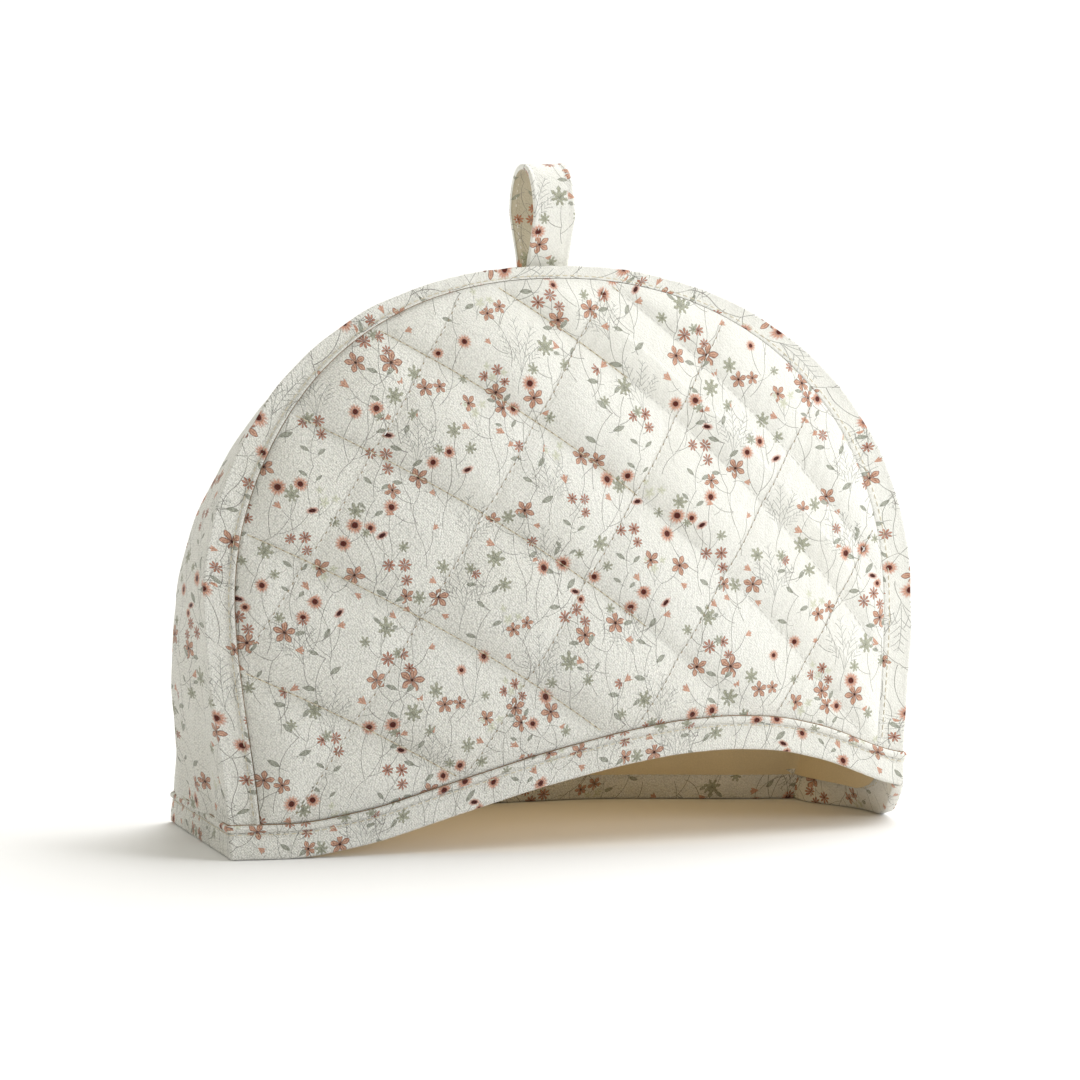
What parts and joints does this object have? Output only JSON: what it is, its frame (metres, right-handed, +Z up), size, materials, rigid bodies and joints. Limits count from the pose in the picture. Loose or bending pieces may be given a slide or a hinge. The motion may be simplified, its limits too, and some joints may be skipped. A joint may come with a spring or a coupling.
{
  "type": "tea cosy",
  "caption": "Quilted fabric tea cosy: a padded dome that stands on its bound hem over a teapot, open underneath, with a hanging loop on top.",
  "frame": {"origin": "on the floor under the middle of the cosy's bounding box in X; the panels' lower seams are 65 mm in front of it and behind it", "axes": "+X to the right along the width, -Y towards the front with the arched lower edge, +Z up"},
  "size_m": [0.3616, 0.1529, 0.3261],
  "materials": {
    "printed_cloth": "matte woven cotton with a small floral print, quilted over wadding",
    "lining_cloth": "matte plain beige cotton"
  },
  "bodies": {
    "root": {"front_panel": "printed_cloth", "back_panel": "printed_cloth", "gusset": "printed_cloth", "hem_band": "printed_cloth", "loop": "printed_cloth", "lining": "lining_cloth"}
  },
  "joints": []
}
